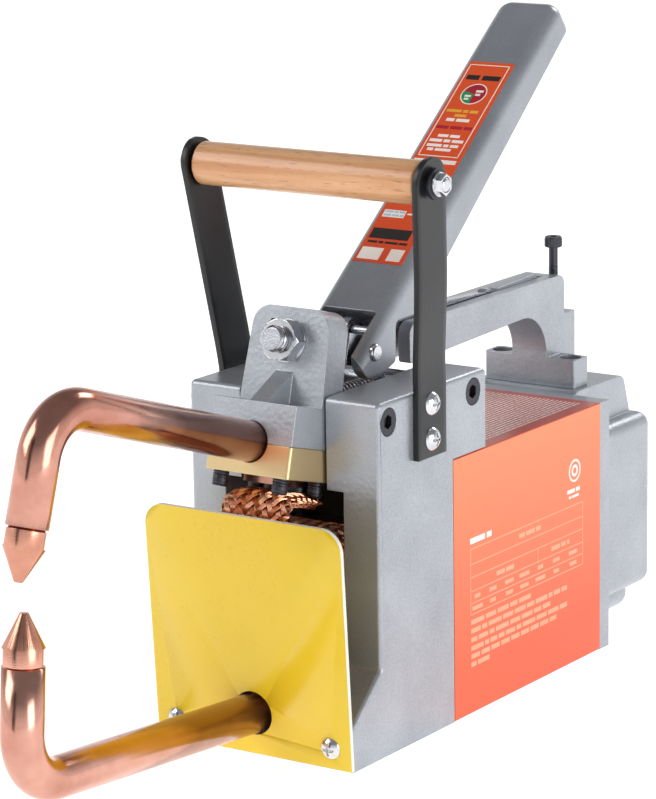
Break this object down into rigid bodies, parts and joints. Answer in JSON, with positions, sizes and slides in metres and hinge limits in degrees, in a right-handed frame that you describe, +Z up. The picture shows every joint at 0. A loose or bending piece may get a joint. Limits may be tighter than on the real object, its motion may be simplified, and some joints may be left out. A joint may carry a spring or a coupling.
{
  "type": "portable spot welder",
  "caption": "Hand-held spot welder: box transformer body, bent copper arms, squeeze lever on a rocker, carrying handle and guard plate.",
  "frame": {"origin": "on the base plane and the middle plane, in line with the front face of the front casting above its lip", "axes": "+X right-hand side, -Y towards the electrodes, +Y to the rear cover, +Z up"},
  "size_m": [0.1227, 0.4117, 0.2746],
  "materials": {
    "cast_paint": "silver-grey fine hammer paint",
    "case_paint": "silver-grey paint",
    "orange_label": "printed film",
    "red_label": "printed film",
    "lever_film": "printed film",
    "yellow_guard": "yellow sheet, white edge",
    "copper": "bare copper",
    "copper_wire": "enamelled winding",
    "cast_brass": "rough casting",
    "tinned": "nickel plate",
    "bright_steel": "ground",
    "chrome": "plated",
    "black_oxide": "black oxide",
    "black_steel": "satin black",
    "beech": "varnished",
    "core_steel": "laminated, varnished",
    "black_rubber": "moulded",
    "insulation": "moulded"
  },
  "bodies": {
    "body": {"front_housing": "cast_paint", "transformer_case": "case_paint", "side_labels": "orange_label", "top_label": "red_label", "core_laminations": "core_steel", "coil_bobbin": "insulation", "primary_coil": "copper_wire", "secondary_loop": "copper", "rear_frame": "cast_paint", "rear_cover": "cast_paint", "cover_screws": "chrome", "cord_bush": "black_rubber", "guard_plate": "yellow_guard", "guard_screws": "chrome", "lower_arm": "copper", "lower_tip": "copper", "lower_clamp": "cast_brass", "lower_clamp_screws": "black_oxide", "pivot_shaft": "bright_steel", "tie_shaft": "bright_steel", "side_screws": "black_oxide", "return_spring": "bright_steel", "copper_braid": "copper", "lower_braid_lug": "copper", "terminal_bolts": "chrome", "ground_pin": "bright_steel", "lever_bracket": "cast_paint", "bracket_bolts": "black_oxide", "bracket_key": "bright_steel", "switch_holder": "cast_paint", "plunger_spring": "bright_steel", "micro_switch": "insulation", "strap_right": "black_steel", "strap_left": "black_steel", "strap_screws": "chrome", "grip_bolt": "chrome", "grip_nut": "chrome", "grip_washers": "black_oxide"},
    "rocker": {"arm_holder": "cast_paint", "brass_clamp": "cast_brass", "clamp_screws": "black_oxide", "upper_arm": "copper", "upper_tip": "copper", "upper_braid_lug": "copper", "braid_bolts": "bright_steel", "pressure_spring": "bright_steel"},
    "pressure_rod": {"pressure_rod": "bright_steel", "adjusting_nut": "chrome", "nut_washer": "chrome"},
    "lever": {"lever": "cast_paint", "lever_pin": "chrome", "link_pin": "bright_steel", "lever_label": "lever_film"},
    "toggle_link": {"toggle_link": "bright_steel"},
    "switch_screw": {"switch_screw": "black_oxide"},
    "grip": {"wooden_grip": "beech"}
  },
  "joints": [
    {"name": "rocker_close", "type": "hinge", "parent": "body", "child": "rocker", "pos_m": [0, 0.0068, 0.134], "axis": [1, 0, 0], "range_deg": [0, 3.65], "stiffness_Nm_per_rad": 20, "springref_deg": -3.44},
    {"name": "rod_slide", "type": "slide", "parent": "rocker", "child": "pressure_rod", "axis": [0, -0.9659, 0.2588], "range_m": [0, 0.0015], "stiffness_N_per_m": 4000, "springref_m": -0.001},
    {"name": "lever_squeeze", "type": "hinge", "parent": "pressure_rod", "child": "lever", "pos_m": [0, 0.04063, 0.15206], "axis": [-1, 0, 0], "range_deg": [0, 36.75], "stiffness_Nm_per_rad": 1, "springref_deg": -45.84},
    {"name": "link_swing", "type": "hinge", "parent": "body", "child": "toggle_link", "pos_m": [0, 0.151, 0.1528], "axis": [1, 0, 0], "range_deg": [0, 1.3]},
    {"name": "switch_press", "type": "slide", "parent": "body", "child": "switch_screw", "axis": [0, 0, -1], "range_m": [0, 0.003], "stiffness_N_per_m": 300, "springref_m": -0.002, "deforming": ["plunger_spring"]},
    {"name": "grip_spin", "type": "hinge", "parent": "body", "child": "grip", "pos_m": [0, 0.02065, 0.22573], "axis": [1, 0, 0], "continuous": true}
  ],
  "couplings": [
    {"joint": "rocker_close", "follows": "lever_squeeze", "ratio": 0.099048},
    {"joint": "rod_slide", "follows": "lever_squeeze", "m_per_rad": 0.002323},
    {"joint": "link_swing", "follows": "lever_squeeze", "ratio": 0.034558}
  ]
}
